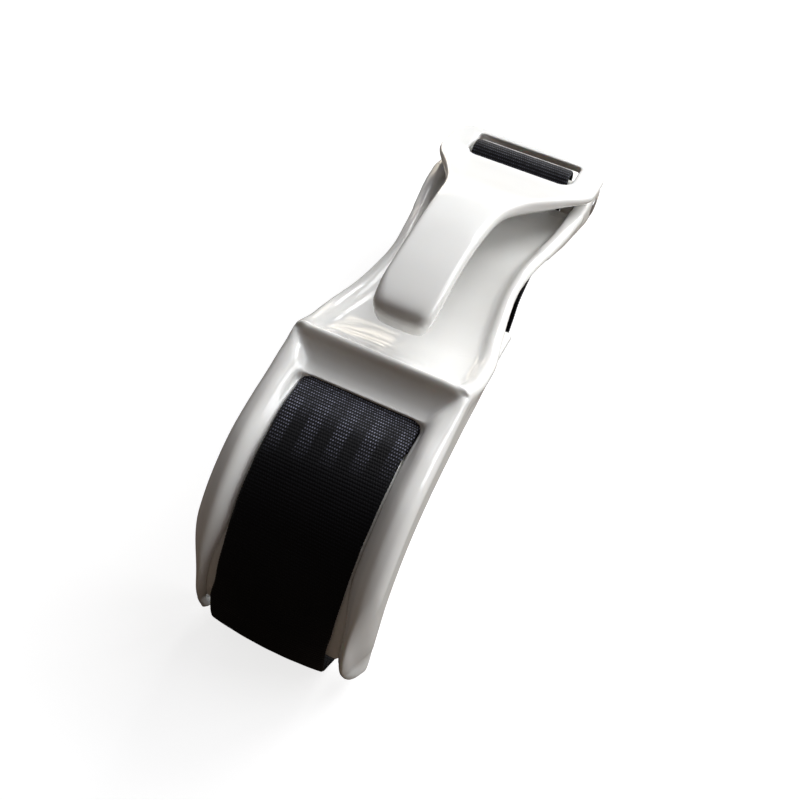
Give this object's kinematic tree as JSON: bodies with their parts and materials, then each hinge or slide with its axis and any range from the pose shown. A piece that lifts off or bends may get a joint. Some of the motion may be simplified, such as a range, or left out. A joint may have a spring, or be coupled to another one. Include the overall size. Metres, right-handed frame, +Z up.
{
  "type": "tourniquet",
  "caption": "Lever tourniquet: arched white plastic buckle with an over-centre lever and a loop of black webbing.",
  "frame": {"origin": "centre of the underside of the closed tourniquet's bounding box, on the table it rests on", "axes": "+Z up off the table, +Y along the buckle from the strap-turn end to the lever head, +X across the webbing"},
  "size_m": [0.062, 0.2076, 0.0719],
  "materials": {
    "shell_plastic": "gloss moulded, faint polishing marks",
    "plate_plastic": "semi-gloss moulded",
    "lever_plastic": "gloss moulded, satin on the thumb face",
    "webbing": "tight woven polyester, slight sheen",
    "steel": "turned",
    "acetal": "as moulded"
  },
  "bodies": {
    "body": {"upper_shell": "shell_plastic", "arc_plate": "plate_plastic", "plate_screws": "steel", "anchor_pin": "steel", "ear_bush_left": "acetal", "ear_bush_right": "acetal", "pivot_stud_left": "steel", "pivot_stud_right": "steel", "stud_washer_left": "steel", "stud_washer_right": "steel", "strap_eye": "webbing", "strap_trough_run": "webbing", "strap_end_bend": "webbing", "strap_under_run": "webbing", "strap_riser": "webbing", "strap_tail": "webbing"},
    "lever": {"lever_shell": "lever_plastic", "lever_under_cover": "plate_plastic", "cover_screws": "steel", "strap_bar": "steel", "strap_bar_wrap": "webbing"},
    "roller": {"bar_roller": "acetal"}
  },
  "joints": [
    {"name": "lever_hinge", "type": "hinge", "parent": "body", "child": "lever", "pos_m": [0, 0.0923, 0.021], "axis": [-1, 0, 0], "range_deg": [0, 120]},
    {"name": "roller_spin", "type": "hinge", "parent": "lever", "child": "roller", "pos_m": [0, 0.0886, 0.0304], "axis": [1, 0, 0], "continuous": true}
  ]
}
